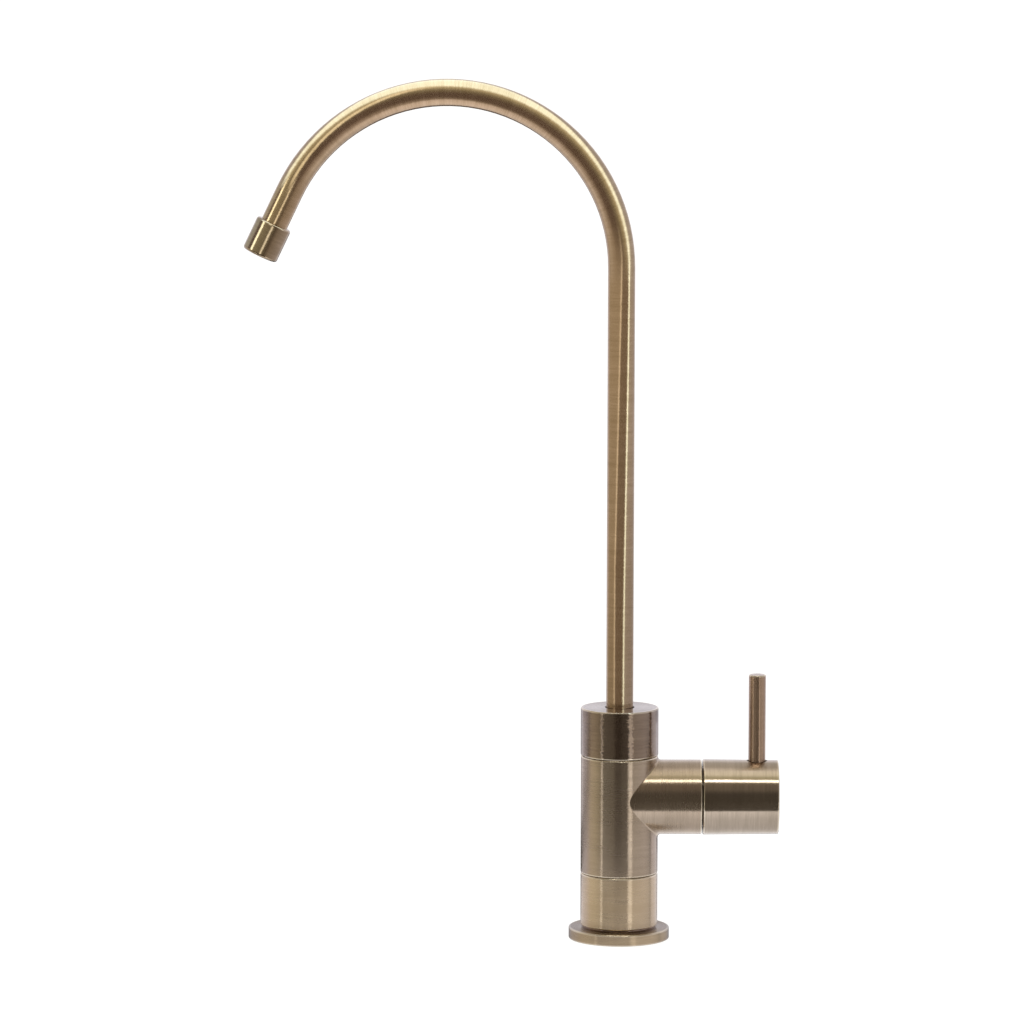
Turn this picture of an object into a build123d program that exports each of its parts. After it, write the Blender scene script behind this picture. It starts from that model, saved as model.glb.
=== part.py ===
from build123d import *
import math
import os

# A single lever drinking water faucet. The frame stands on the deck: the origin is on the column's axis
# at the flange's underside, +Z is up, +X points along the handle and the spout reaches out to -X.
# All sizes are in millimetres.

# Column, from the deck up
FLANGE_DIAMETER = 35.4
FLANGE_HEIGHT = 4.0
NECK_DIAMETER = 23.4
NECK_HEIGHT = 0.9
LOWER_COLLAR_DIAMETER = 27.1
LOWER_COLLAR_HEIGHT = 18.4
BODY_DIAMETER = 27.1
BODY_HEIGHT = 41.6
NUT_DIAMETER = 27.3
NUT_HEIGHT = 16.9
SEAM_GAP = 0.2
EDGE_ROUNDING = 0.4

# Side branch and handle
BRANCH_DIAMETER = 26.2
BRANCH_LENGTH = 28.85
BRANCH_DROP = 14.8
BRANCH_FILLET = 1.2
HUB_DIAMETER = 26.5
HUB_END_DIAMETER = 25.9
HUB_LENGTH = 26.5
HUB_GAP = 0.5
LEVER_DIAMETER = 6.0
LEVER_LENGTH = 31.8
LEVER_INSET = 7.55
LEVER_SEAT_DEPTH = 1.3
LEVER_SEAT_MARGIN = 0.55
LEVER_SPIGOT_DIAMETER = 4.9
LEVER_SPIGOT_LENGTH = 6.8

# Gooseneck and nozzle
TUBE_DIAMETER = 9.5
TUBE_WALL = 1.0
SPOUT_RISE = 154.8
ARC_RADIUS = 60.7
ARC_SWEEP = 154.5
TAIL_LENGTH = 24.4
NOZZLE_DIAMETER = 12.7
NOZZLE_LENGTH = 12.2
NOZZLE_ROUNDING = 0.9
NOZZLE_LIP = 1.0
NOZZLE_LIP_WIDTH = 0.8
STRAIGHTENER_THICKNESS = 3.0
STRAIGHTENER_HOLE = 1.1
STRAIGHTENER_PITCH = 1.6
STRAIGHTENER_LAPS = 2
HOLES_PER_LAP = 6
NOZZLE_WASHER_THICKNESS = 1.0

# Clearances, and how far a cut runs past the face that it opens
FIT = 0.05
RUN = 0.08
FACE = 0.1
OVERCUT = 1.0

# Foot of the column and inlet
BUSH_DIAMETER = 16.0
BUSH_HEAD_DIAMETER = 21.0
BUSH_HEAD_HEIGHT = 2.0
BUSH_LENGTH = 20.0
INLET_THREAD_DIAMETER = 10.0
INLET_THREAD_DEPTH = 12.0
INLET_BORE = 7.0
BUSH_POCKET_END = 0.6
INLET_SEAL_INSET = 2.5
DECK_SEAL_WALL = 1.7
DECK_SEAL_WIDTH = 3.7
DECK_SEAL_HEIGHT = 1.4
COLLAR_WALL = 1.5
COLLAR_FLOOR = 2.0
COLLAR_RING_SECTION = 0.9
COLLAR_RING_INSET = 4.0
RING_SECTION = 1.2
GROOVE_WIDTH = 1.8

# Swivel of the spout
NUT_WALL = 2.2
NUT_ROOF = 6.0
NUT_TUBE_GAP = 0.45
TOP_SPIGOT_WALL = 1.5
SEAT_DEPTH = 6.5
FERRULE_WALL = 2.65
SHOULDER_HEIGHT = 2.0
SHOULDER_GAP = 0.4
THRUST_RING_HEIGHT = 0.8
PLENUM_HEIGHT = 1.0
PLENUM_WALL = 1.2
OUTLET_DIAMETER = 4.0
OUTLET_MARGIN = 0.3

# Cartridge in the branch
BRANCH_WALL = 4.1
FLOOR_WALL = 1.0
NOSE_GAP = 0.8
NOSE_WALL = 1.3
NOSE_START = 1.0
SEAT_SEAL_LENGTH = 2.65
SEAT_SEAL_WALL = 1.2
DISC_THICKNESS = 3.0
DISC_WINDOW_ANGLE = 70.0
DISC_HUB_RADIUS = 1.8
DISC_RIM = 1.45
DISC_KEY_WIDTH = 3.0
SLOT_DEPTH = 1.25
TANG_WIDTH = 3.2
TANG_LENGTH = 3.75
TANG_RIM = 1.3
WINDOW_WIDTH = 7.0
WINDOW_MARGIN = 0.35
STEM_DIAMETER = 9.9
STEM_FLANGE = 1.5
STEM_WASHER = 0.8
STEM_WASHER_WALL = 1.6
HOUSING_FLANGE = 1.2
HOUSING_FLANGE_GAP = 0.35
HOUSING_HEX_FLATS = 17.0
HOUSING_HEX_LENGTH = 3.0
JOURNAL_LENGTH = 3.0
CROWN_GAP = 0.1
CROWN_WALL = 1.5
CROWN_DEPTH = 2.0

# Stem end, stop and hub inside
STEM_END_DIAMETER = 7.9
STEM_FLAT_DEPTH = 0.95
STOP_RING_WIDTH = 1.95
STOP_RING_THICKNESS = 1.8
STOP_LUG_ANGLE = 40.0
STOP_CLEARANCE = 1.0
QUARTER_TURN = 90.0
CLIP_THICKNESS = 0.8
CLIP_GROOVE_DEPTH = 0.7
CLIP_WIDTH = 2.4
CLIP_OPENING = 3.0
HUB_WALL = 2.4
HUB_CAVITY_CLEARANCE = 0.5
HUB_SOCKET_LENGTH = 7.4
HUB_SCREW_DIAMETER = 4.0
HUB_SCREW_LENGTH = 5.5
HUB_SCREW_KEY = 2.0
HUB_SCREW_KEY_DEPTH = 2.2

# Heights and radii of the column
flange_r = FLANGE_DIAMETER / 2
deck_seal_r = flange_r - DECK_SEAL_WALL
deck_seal_bore_r = deck_seal_r - DECK_SEAL_WIDTH
collar_bottom = FLANGE_HEIGHT + NECK_HEIGHT
collar_top = collar_bottom + LOWER_COLLAR_HEIGHT
body_bottom = collar_top + SEAM_GAP
body_top = body_bottom + BODY_HEIGHT
nut_bottom = body_top + SEAM_GAP
nut_top = nut_bottom + NUT_HEIGHT
branch_z = body_top - BRANCH_DROP
arc_z = nut_top + SPOUT_RISE

body_r = BODY_DIAMETER / 2
collar_r = LOWER_COLLAR_DIAMETER / 2
collar_bore_r = collar_r - COLLAR_WALL
spigot_r = collar_bore_r - FIT
spigot_bottom = collar_bottom + COLLAR_FLOOR
bush_r = BUSH_DIAMETER / 2
bush_head_r = BUSH_HEAD_DIAMETER / 2
bush_pocket_top = BUSH_LENGTH + BUSH_POCKET_END
inlet_r = INLET_BORE / 2
inlet_seal_z = BUSH_LENGTH - INLET_SEAL_INSET

nut_r = NUT_DIAMETER / 2
nut_roof_z = nut_top - NUT_ROOF
nut_thread_r = nut_r - NUT_WALL
top_spigot_r = nut_thread_r - FIT
top_spigot_top = nut_roof_z - FACE
seat_r = top_spigot_r - TOP_SPIGOT_WALL
seat_z = top_spigot_top - SEAT_DEPTH

# The tube's foot and its swivel shoulder
tube_r = TUBE_DIAMETER / 2
tube_bore_r = tube_r - TUBE_WALL
ferrule_bore_r = tube_r + FIT
ferrule_r = ferrule_bore_r + FERRULE_WALL
spout_bore_r = ferrule_r + RUN
shoulder_bottom = seat_z + THRUST_RING_HEIGHT + FACE
shoulder_top = shoulder_bottom + SHOULDER_HEIGHT

# Cartridge, with stations counted along the branch from the column's axis
branch_r = BRANCH_DIAMETER / 2
chamber_r = branch_r - BRANCH_WALL
chamber_floor = inlet_r + FLOOR_WALL
housing_seal_r = chamber_r + RING_SECTION
plenum_floor = branch_z + chamber_r + PLENUM_WALL
ferrule_bottom = plenum_floor + PLENUM_HEIGHT
outlet_r = OUTLET_DIAMETER / 2
outlet_x = spout_bore_r - outlet_r - OUTLET_MARGIN

housing_r = chamber_r - FIT
nose_r = chamber_r - NOSE_GAP
nose_bore_r = nose_r - NOSE_WALL
nose_start = chamber_floor + NOSE_START
disc_r = nose_bore_r - RUN
fixed_disc_start = chamber_floor + SEAT_SEAL_LENGTH + FIT
fixed_disc_end = fixed_disc_start + DISC_THICKNESS
turning_disc_start = fixed_disc_end + FIT
turning_disc_end = turning_disc_start + DISC_THICKNESS
tang_r = disc_r - TANG_RIM
tang_start = turning_disc_end - SLOT_DEPTH + FIT
stem_flange_start = turning_disc_end + TANG_LENGTH
stem_flange_end = stem_flange_start + STEM_FLANGE
stem_washer_start = stem_flange_end + FIT
stem_washer_end = stem_washer_start + STEM_WASHER
housing_shoulder = stem_washer_end + FIT
stem_r = STEM_DIAMETER / 2
neck_bore_r = stem_r + RUN

# Stop, clip and hub, counted the same way
hub_start = BRANCH_LENGTH + HUB_GAP
hub_end = hub_start + HUB_LENGTH
hub_r = HUB_DIAMETER / 2
hub_end_r = HUB_END_DIAMETER / 2
hub_cavity_r = hub_r - HUB_WALL
housing_flange_r = hub_cavity_r - HOUSING_FLANGE_GAP
housing_flange_end = BRANCH_LENGTH + HOUSING_FLANGE
hex_end = housing_flange_end + HOUSING_HEX_LENGTH
journal_end = hex_end + JOURNAL_LENGTH
stem_end_r = STEM_END_DIAMETER / 2
stop_bore_r = stem_end_r + FIT
stop_ring_r = stop_bore_r + STOP_RING_WIDTH
crown_bore_r = stop_ring_r + CROWN_GAP
journal_r = crown_bore_r + CROWN_WALL
crown_floor = journal_end - CROWN_DEPTH
stop_ring_start = crown_floor + FIT
stop_ring_end = stop_ring_start + STOP_RING_THICKNESS
stop_lug_r = journal_r - CROWN_GAP
clip_start = stop_ring_end + FIT
clip_end = clip_start + CLIP_THICKNESS
clip_groove_r = stem_end_r - CLIP_GROOVE_DEPTH
clip_bore_r = clip_groove_r + FIT
socket_start = max(journal_end, clip_end) + HUB_CAVITY_CLEARANCE
socket_end = socket_start + HUB_SOCKET_LENGTH
screw_x = socket_start + HUB_SOCKET_LENGTH / 2
screw_r = HUB_SCREW_DIAMETER / 2
screw_tip = stem_end_r - STEM_FLAT_DEPTH + FACE

# The lever, counted from the handle's axis
lever_r = LEVER_DIAMETER / 2
lever_spigot_r = LEVER_SPIGOT_DIAMETER / 2
lever_x = hub_end - LEVER_INSET
hub_r_at_lever = hub_r + (hub_end_r - hub_r) * (lever_x - hub_start) / HUB_LENGTH
lever_foot = hub_r_at_lever - LEVER_SEAT_DEPTH
lever_bottom = lever_foot - LEVER_SPIGOT_LENGTH
lever_top = lever_foot + LEVER_LENGTH

# Stations of the straightener and its washer, counted back from the mouth
straightener_end = -NOZZLE_LIP
straightener_start = straightener_end - STRAIGHTENER_THICKNESS
washer_start = straightener_start - NOZZLE_WASHER_THICKNESS

# The handle's own frame: its z runs along the branch, its x points up and its y to the front, so a
# positive turn about z brings the upright lever forward
handle = Plane(origin=(0, 0, branch_z), x_dir=(0, 0, 1), z_dir=(1, 0, 0)).location

# The nozzle's own frame: its origin is at the middle of the mouth and its z points the way water leaves
sweep_turn = math.radians(ARC_SWEEP)
arc_centre = Vector(-ARC_RADIUS, 0, arc_z)
outflow = Vector(-math.sin(sweep_turn), 0, math.cos(sweep_turn))
arc_end = arc_centre + Vector(math.cos(sweep_turn), 0, math.sin(sweep_turn)) * ARC_RADIUS
mouth = arc_end + outflow * TAIL_LENGTH
nozzle = Plane(origin=mouth, x_dir=(0, 1, 0), z_dir=outflow).location


def turned(points):
    """A solid of revolution about z, from (radius, height) points in order round its section."""
    section = make_face(Polyline([(r, 0, z) for r, z in points], close=True))
    return revolve(section, Axis.Z)


def rod(radius, low, high):
    """A round bar about z."""
    return Pos(0, 0, (low + high) / 2) * Cylinder(radius, high - low)


def ring(outer, inner, low, high):
    """A plain ring or tube about z."""
    return turned([(inner, low), (outer, low), (outer, high), (inner, high)])


def rounded(solid, radius, station, rounding=EDGE_ROUNDING):
    """The solid with its round edge of that radius, at that height, rounded."""
    circles = solid.edges().filter_by(GeomType.CIRCLE)
    level = circles.filter_by(lambda e: abs(e.center().Z - station) < 0.001)
    rim = level.filter_by(lambda e: abs(e.radius - radius) < 0.001)
    return fillet(rim, rounding)


def rounded_ring(outer, inner, low, high):
    """A ring about z whose two outer edges are rounded."""
    return rounded(rounded(ring(outer, inner, low, high), outer, low), outer, high)


def block(across, wide, low, high):
    """A box centred on z, sized along x and y, between two stations."""
    return Pos(0, 0, (low + high) / 2) * Box(across, wide, high - low)


def hexagon(flats, low, high):
    """A six-sided bar about z, measured across its flats."""
    profile = RegularPolygon(flats / 2, 6, major_radius=False)
    return Pos(0, 0, low) * extrude(profile, high - low)


def sector(outer, inner, low, high, middle, width):
    """A ring sector about z, centred on the angle middle and width degrees wide."""
    on_axis = (Align.NONE, Align.NONE, Align.CENTER)
    wedge = Cylinder(outer, high - low, arc_size=width, align=on_axis) - Cylinder(inner, high - low)
    return Pos(0, 0, (low + high) / 2) * Rot(0, 0, middle - width / 2) * wedge


def o_ring(outer, section, height):
    """A round-section rubber ring about z, inside the given outer radius."""
    return Pos(0, 0, height) * Torus(outer - section / 2, section / 2)


def ring_groove(outer, section, height):
    """The square groove cut for an o_ring of the same outer radius and section."""
    half = GROOVE_WIDTH / 2
    return ring(outer + section, outer - section - FIT, height - half, height + half)


def between(count, low, high):
    """Evenly spaced stations between low and high, without the ends."""
    return [low + (high - low) * (i + 1) / (count + 1) for i in range(count)]


# Where the pairs of rubber rings sit
ferrule_ring_stations = between(2, ferrule_bottom, shoulder_bottom)
stem_ring_stations = between(2, housing_shoulder, crown_floor)
collar_ring_stations = [spigot_bottom + COLLAR_RING_INSET, collar_top - COLLAR_RING_INSET]


# Pieces that stay fixed to the deck


def base_flange():
    """The round foot plate, with a counterbore for the bush's head and a groove for the deck seal."""
    plate = rounded_ring(flange_r, bush_r + FIT, 0, FLANGE_HEIGHT)
    plate -= rod(bush_head_r + FIT, -OVERCUT, BUSH_HEAD_HEIGHT)
    return plate - ring(deck_seal_r + FIT, deck_seal_bore_r - FIT, -OVERCUT, DECK_SEAL_HEIGHT)


def deck_seal():
    """The flat rubber ring in the flange's underside, flush with it."""
    return ring(deck_seal_r, deck_seal_bore_r, 0, DECK_SEAL_HEIGHT)


def inlet_bush():
    """The headed bush that clamps the foot together and takes the supply's thread from below."""
    bush = rod(bush_r, 0, BUSH_LENGTH) + rod(bush_head_r, 0, BUSH_HEAD_HEIGHT)
    bush -= rod(INLET_THREAD_DIAMETER / 2, -OVERCUT, INLET_THREAD_DEPTH)
    bush -= rod(inlet_r, 0, BUSH_LENGTH + OVERCUT)
    return bush - ring_groove(bush_r, RING_SECTION, inlet_seal_z)


def inlet_seal():
    """The O-ring between the bush and the body."""
    return o_ring(bush_r, RING_SECTION, inlet_seal_z)


def neck_ring():
    """The narrow spacer that keeps the lower collar clear of the flange."""
    return ring(NECK_DIAMETER / 2, bush_r + FIT, FLANGE_HEIGHT, collar_bottom)


def lower_collar():
    """The sleeve around the body's lower spigot, with a floor that is clamped under the spigot."""
    sleeve = rounded_ring(collar_r, bush_r + FIT, collar_bottom, collar_top)
    return sleeve - rod(collar_bore_r, spigot_bottom, collar_top + OVERCUT)


def collar_rings():
    """The two rubber rings between the body's spigot and the lower collar."""
    return Compound(children=[o_ring(spigot_r, COLLAR_RING_SECTION, z) for z in collar_ring_stations])


def main_body():
    """The barrel with its branch, spigots and water passages."""
    barrel = rounded_ring(body_r, 0, body_bottom, body_top)
    branch = rounded(rod(branch_r, 0, BRANCH_LENGTH), branch_r, BRANCH_LENGTH)
    body = barrel + handle * branch
    crease = body.edges().filter_by(lambda e: e.geom_type not in (GeomType.LINE, GeomType.CIRCLE))
    body = fillet(crease, BRANCH_FILLET)
    body += rod(spigot_r, spigot_bottom, body_bottom)
    body += rod(top_spigot_r, body_top, top_spigot_top)
    for station in collar_ring_stations:
        body -= ring_groove(spigot_r, COLLAR_RING_SECTION, station)

    # The way in: the bush's pocket, then up the column and out to the chamber
    body -= rod(bush_r + FIT, spigot_bottom - OVERCUT, bush_pocket_top)
    body -= rod(inlet_r, bush_pocket_top - OVERCUT, branch_z)
    body -= Pos(0, 0, branch_z) * Sphere(inlet_r)
    body -= handle * rod(inlet_r, 0, chamber_floor + OVERCUT)

    # The chamber in the branch, with the seal's pocket at its mouth
    body -= handle * rod(chamber_r, chamber_floor, BRANCH_LENGTH + OVERCUT)
    pocket_floor = BRANCH_LENGTH - RING_SECTION - FIT
    body -= handle * rod(housing_seal_r + FIT, pocket_floor, BRANCH_LENGTH + OVERCUT)

    # The way out: from the chamber's top to the plenum, the spout's bore and the swivel's seat
    outlet_bottom = branch_z + (nose_r + chamber_r) / 2
    body -= Pos(outlet_x, 0, 0) * rod(outlet_r, outlet_bottom, plenum_floor + OVERCUT)
    body -= rod(spout_bore_r, plenum_floor, top_spigot_top)
    return body - rod(seat_r, seat_z, top_spigot_top + OVERCUT)


def thrust_ring():
    """The plastic washer that the swivel's shoulder turns on."""
    return ring(seat_r - RUN, spout_bore_r + RUN, seat_z, seat_z + THRUST_RING_HEIGHT)


def swivel_bush():
    """The plastic bush above the shoulder, which also guides the tube."""
    return ring(seat_r - RUN, tube_r + RUN, shoulder_top + FACE, top_spigot_top)


def spout_nut():
    """The upper collar, screwed on the body's top spigot, with a roof that traps the swivel."""
    nut = rounded_ring(nut_r, tube_r + NUT_TUBE_GAP, nut_bottom, nut_top)
    return nut - rod(nut_thread_r, nut_bottom - OVERCUT, nut_roof_z)


def seat_seal():
    """The rubber seal between the chamber's floor and the fixed disc."""
    seal_end = chamber_floor + SEAT_SEAL_LENGTH
    return handle * ring(disc_r, disc_r - SEAT_SEAL_WALL, chamber_floor, seal_end)


def disc_windows(low, high, middle):
    """The two opposite windows of a ceramic disc."""
    window = sector(disc_r - DISC_RIM, DISC_HUB_RADIUS, low, high, middle, DISC_WINDOW_ANGLE)
    return window + Rot(0, 0, 180) * window


def fixed_disc():
    """The ceramic disc that stays still, keyed into the nose."""
    disc = rod(disc_r, fixed_disc_start, fixed_disc_end)
    disc += block(2 * (nose_r - FIT), DISC_KEY_WIDTH, fixed_disc_start, fixed_disc_end)
    windows = disc_windows(fixed_disc_start - OVERCUT, fixed_disc_end + OVERCUT, QUARTER_TURN)
    return handle * (disc - windows)


def cartridge_housing():
    """The headwork: windowed nose, threaded barrel, flange, hexagon and a journal that ends in a crown."""
    housing = rod(nose_r, nose_start, housing_shoulder)
    housing += rod(housing_r, stem_flange_start, BRANCH_LENGTH)
    housing += rod(housing_flange_r, BRANCH_LENGTH, housing_flange_end)
    housing += hexagon(HOUSING_HEX_FLATS, housing_flange_end, hex_end)
    housing += rod(journal_r, hex_end, journal_end)

    # The bores for the discs, the stem and the stop ring
    past_end = journal_end + OVERCUT
    housing -= rod(nose_bore_r, nose_start - OVERCUT, housing_shoulder)
    housing -= rod(neck_bore_r, housing_shoulder - OVERCUT, past_end)
    housing -= rod(crown_bore_r, crown_floor, past_end)

    # The gap in the crown that the stop lug swings through
    gap = QUARTER_TURN + STOP_LUG_ANGLE + 2 * STOP_CLEARANCE
    crown_inside = crown_bore_r - CROWN_WALL
    housing -= sector(journal_r + OVERCUT, crown_inside, crown_floor, past_end, QUARTER_TURN / 2, gap)

    # The water windows and the slot for the fixed disc's keys
    across = 2 * (nose_r + OVERCUT)
    window_start = turning_disc_end + WINDOW_MARGIN
    housing -= block(across, WINDOW_WIDTH, window_start, stem_flange_start - WINDOW_MARGIN)
    housing -= block(across, DISC_KEY_WIDTH + 2 * FIT, nose_start - OVERCUT, fixed_disc_end + FIT)
    return handle * housing


def housing_seal():
    """The O-ring under the headwork's flange."""
    return handle * o_ring(housing_seal_r, RING_SECTION, BRANCH_LENGTH - RING_SECTION / 2)


def guide_ring():
    """The plastic ring on the journal, inside the hub's mouth."""
    return handle * ring(hub_cavity_r - RUN, journal_r + FIT, hex_end + FIT, journal_end)


# Pieces that turn with the handle


def turning_disc():
    """The ceramic disc that the stem turns, closed at rest and open after a quarter turn."""
    disc = rod(disc_r, turning_disc_start, turning_disc_end)
    slot_floor = turning_disc_end - SLOT_DEPTH
    slot = block(2 * (tang_r + FIT), TANG_WIDTH + 2 * FIT, slot_floor, turning_disc_end + OVERCUT)
    disc -= Rot(0, 0, QUARTER_TURN) * slot
    return handle * (disc - disc_windows(turning_disc_start - OVERCUT, turning_disc_end + OVERCUT, 0))


def flat_side(depth, low, high):
    """What lies beyond a flat on the underside of the stem's end, the given depth below its surface."""
    size = STEM_END_DIAMETER
    return Pos(depth - stem_end_r - size / 2, 0, 0) * block(size, 2 * size, low, high)


def cartridge_stem():
    """The spindle: driving tang, flange, round shaft with two ring grooves, and the flatted end."""
    stem = rod(disc_r, stem_flange_start, stem_flange_end)
    stem += Rot(0, 0, QUARTER_TURN) * block(2 * tang_r, TANG_WIDTH, tang_start, stem_flange_start)
    stem += rod(stem_r, stem_flange_end, crown_floor)
    stem += rod(stem_end_r, crown_floor, socket_end - FACE)
    for station in stem_ring_stations:
        stem -= ring_groove(stem_r, RING_SECTION, station)
    stem -= ring(stem_end_r + OVERCUT, clip_groove_r, clip_start - FIT, clip_end + FIT)
    return handle * (stem - flat_side(STEM_FLAT_DEPTH, socket_start, socket_end + OVERCUT))


def stem_washer():
    """The low-friction washer between the stem's flange and the housing's shoulder."""
    return handle * ring(disc_r, disc_r - STEM_WASHER_WALL, stem_washer_start, stem_washer_end)


def stem_rings():
    """The two O-rings on the stem's shaft."""
    return Compound(children=[handle * o_ring(stem_r, RING_SECTION, x) for x in stem_ring_stations])


def stop_ring():
    """The ring on the stem's end whose lug meets the crown's two walls."""
    stop = ring(stop_ring_r, stop_bore_r, stop_ring_start, stop_ring_end)
    lug_inside = (stop_bore_r + stop_ring_r) / 2
    return handle * (stop + sector(stop_lug_r, lug_inside, stop_ring_start, stop_ring_end, 0, STOP_LUG_ANGLE))


def stem_clip():
    """The open spring clip in the stem's groove."""
    clip_r = clip_bore_r + CLIP_WIDTH
    clip = ring(clip_r, clip_bore_r, clip_start, clip_end)
    opening = block(2 * clip_r, CLIP_OPENING, clip_start - OVERCUT, clip_end + OVERCUT)
    return handle * (clip - Pos(-clip_r, 0, 0) * opening)


def handle_hub():
    """The hub: tapered outside, hollow over the headwork, with a flatted socket and a lever seat."""
    hub = turned([(0, hub_start), (hub_r, hub_start), (hub_end_r, hub_end), (0, hub_end)])
    hub = rounded(rounded(hub, hub_r, hub_start), hub_end_r, hub_end)
    hub -= rod(hub_cavity_r, hub_start - OVERCUT, socket_start)
    socket = rod(stem_end_r + FIT, socket_start - OVERCUT, socket_end)
    hub -= socket - flat_side(STEM_FLAT_DEPTH - FIT, hub_start, hub_end)
    past_hub = hub_r + OVERCUT
    seat = rod(lever_r + LEVER_SEAT_MARGIN, lever_foot, past_hub)
    seat += rod(lever_spigot_r + FIT, lever_bottom - FACE, past_hub)
    hub -= Pos(0, 0, lever_x) * Rot(0, 90, 0) * seat
    return handle * (hub - Pos(0, 0, screw_x) * Rot(0, -90, 0) * rod(screw_r + FIT, 0, past_hub))


def hub_screw():
    """The grub screw that bears on the stem's flat from below, with a hexagon socket."""
    screw_end = screw_tip + HUB_SCREW_LENGTH
    screw = rod(screw_r, screw_tip, screw_end)
    screw -= hexagon(HUB_SCREW_KEY, screw_end - HUB_SCREW_KEY_DEPTH, screw_end + OVERCUT)
    return handle * Pos(0, 0, screw_x) * Rot(0, -90, 0) * screw


def lever_rod():
    """The upright rod with its screwed spigot."""
    lever = turned(
        [
            (0, lever_bottom),
            (lever_spigot_r, lever_bottom),
            (lever_spigot_r, lever_foot),
            (lever_r, lever_foot),
            (lever_r, lever_top),
            (0, lever_top),
        ]
    )
    lever = rounded(lever, lever_r, lever_top)
    return handle * Pos(0, 0, lever_x) * Rot(0, 90, 0) * lever


# Pieces that swivel with the spout


def spout_ferrule():
    """The sleeve brazed on the tube's foot, with its shoulder and two ring grooves."""
    sleeve = ring(ferrule_r, ferrule_bore_r, ferrule_bottom, shoulder_top)
    sleeve += ring(seat_r - SHOULDER_GAP, ferrule_bore_r, shoulder_bottom, shoulder_top)
    for station in ferrule_ring_stations:
        sleeve -= ring_groove(ferrule_r, RING_SECTION, station)
    return sleeve


def spout_rings():
    """The two O-rings on the ferrule."""
    return Compound(children=[o_ring(ferrule_r, RING_SECTION, z) for z in ferrule_ring_stations])


def spout_tube():
    """The gooseneck: a straight riser, a round arc and a straight tail that ends inside the nozzle."""
    with BuildLine(Plane.XZ) as path:
        Line((0, ferrule_bottom), (0, arc_z))
        arc = CenterArc((-ARC_RADIUS, arc_z), ARC_RADIUS, 0, ARC_SWEEP)
        PolarLine(arc @ 1, TAIL_LENGTH + washer_start, direction=arc % 1)
    foot = Plane(origin=(0, 0, ferrule_bottom), z_dir=(0, 0, 1))
    return sweep(foot * (Circle(tube_r) - Circle(tube_bore_r)), path=path.line)


def nozzle_collar():
    """The short cylinder on the tube's end, with rounded edges and a lip that holds the straightener."""
    shell = nozzle * rod(NOZZLE_DIAMETER / 2, -NOZZLE_LENGTH, 0)
    shell = fillet(shell.edges().filter_by(GeomType.CIRCLE), NOZZLE_ROUNDING)
    bore_r = tube_r + FIT
    shell -= nozzle * rod(bore_r, -NOZZLE_LENGTH - OVERCUT, straightener_end)
    return shell - nozzle * rod(bore_r - NOZZLE_LIP_WIDTH, straightener_end - OVERCUT, OVERCUT)


def nozzle_washer():
    """The rubber washer between the tube's end and the straightener."""
    return nozzle * ring(tube_r - FIT, tube_bore_r, washer_start, straightener_start)


def flow_straightener():
    """The plastic disc in the mouth, with laps of fine holes round a middle one."""
    disc = rod(tube_r - FIT, straightener_start, straightener_end)
    hole = rod(STRAIGHTENER_HOLE / 2, straightener_start - OVERCUT, straightener_end + OVERCUT)
    disc -= hole
    for lap in range(1, STRAIGHTENER_LAPS + 1):
        disc -= PolarLocations(lap * STRAIGHTENER_PITCH, lap * HOLES_PER_LAP) * hole
    return nozzle * disc


PIECES = [
    base_flange,
    deck_seal,
    inlet_bush,
    inlet_seal,
    neck_ring,
    lower_collar,
    collar_rings,
    main_body,
    thrust_ring,
    swivel_bush,
    spout_nut,
    seat_seal,
    fixed_disc,
    cartridge_housing,
    housing_seal,
    guide_ring,
    turning_disc,
    cartridge_stem,
    stem_washer,
    stem_rings,
    stop_ring,
    stem_clip,
    handle_hub,
    hub_screw,
    lever_rod,
    spout_ferrule,
    spout_rings,
    spout_tube,
    nozzle_collar,
    nozzle_washer,
    flow_straightener,
]

os.makedirs("parts", exist_ok=True)
for piece in PIECES:
    export_step(piece(), f"parts/{piece.__name__}.step")
    print(piece.__name__)
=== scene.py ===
# %% [markdown]
# # A drinking water faucet in antique brass
# A round column stands on a flange, a branch to one side carries the handle's hub with its thin lever,
# and a gooseneck rises from the top and ends in a short nozzle. The shapes come from the part's own
# frame. This lesson gives them their finish, their studio and the camera that looks at them.

# %% Load the frame
import bpy
import math
from mathutils import Euler, Matrix, Vector


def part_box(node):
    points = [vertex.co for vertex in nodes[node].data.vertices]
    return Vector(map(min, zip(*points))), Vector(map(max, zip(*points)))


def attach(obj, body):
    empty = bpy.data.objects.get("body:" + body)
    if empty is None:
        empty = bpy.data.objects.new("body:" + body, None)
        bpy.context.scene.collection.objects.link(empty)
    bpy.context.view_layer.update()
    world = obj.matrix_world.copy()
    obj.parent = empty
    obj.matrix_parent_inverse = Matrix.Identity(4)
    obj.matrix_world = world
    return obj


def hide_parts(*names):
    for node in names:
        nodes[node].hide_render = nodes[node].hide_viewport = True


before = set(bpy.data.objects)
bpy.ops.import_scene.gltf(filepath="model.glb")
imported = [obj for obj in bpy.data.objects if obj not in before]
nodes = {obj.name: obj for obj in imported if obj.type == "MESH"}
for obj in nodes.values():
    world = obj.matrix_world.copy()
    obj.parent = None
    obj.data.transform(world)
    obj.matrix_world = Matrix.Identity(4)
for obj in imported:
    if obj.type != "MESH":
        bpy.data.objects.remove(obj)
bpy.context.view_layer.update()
MM = 0.001

# %% [markdown]
# ## The camera
# The picture was taken from two metres away with a long lens, a little above the faucet and looking
# seven degrees down. A long lens keeps the column's edges nearly parallel. The lens could be guessed
# by eye, but the ellipses of the flange and the nut fix the tilt, and the gooseneck fixes the rest.

# %% Place the camera
CAMERA_PLACE = (-37.97 * MM, -2030 * MM, 407.6 * MM)
LOOK_DOWN = math.radians(7.2)
ROLL = 0.0021
SENSOR_WIDTH = 36
PICTURE_WIDTH = 1024
LENS_IN_PIXELS = 5850
FARTHEST_SEEN = 50

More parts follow.
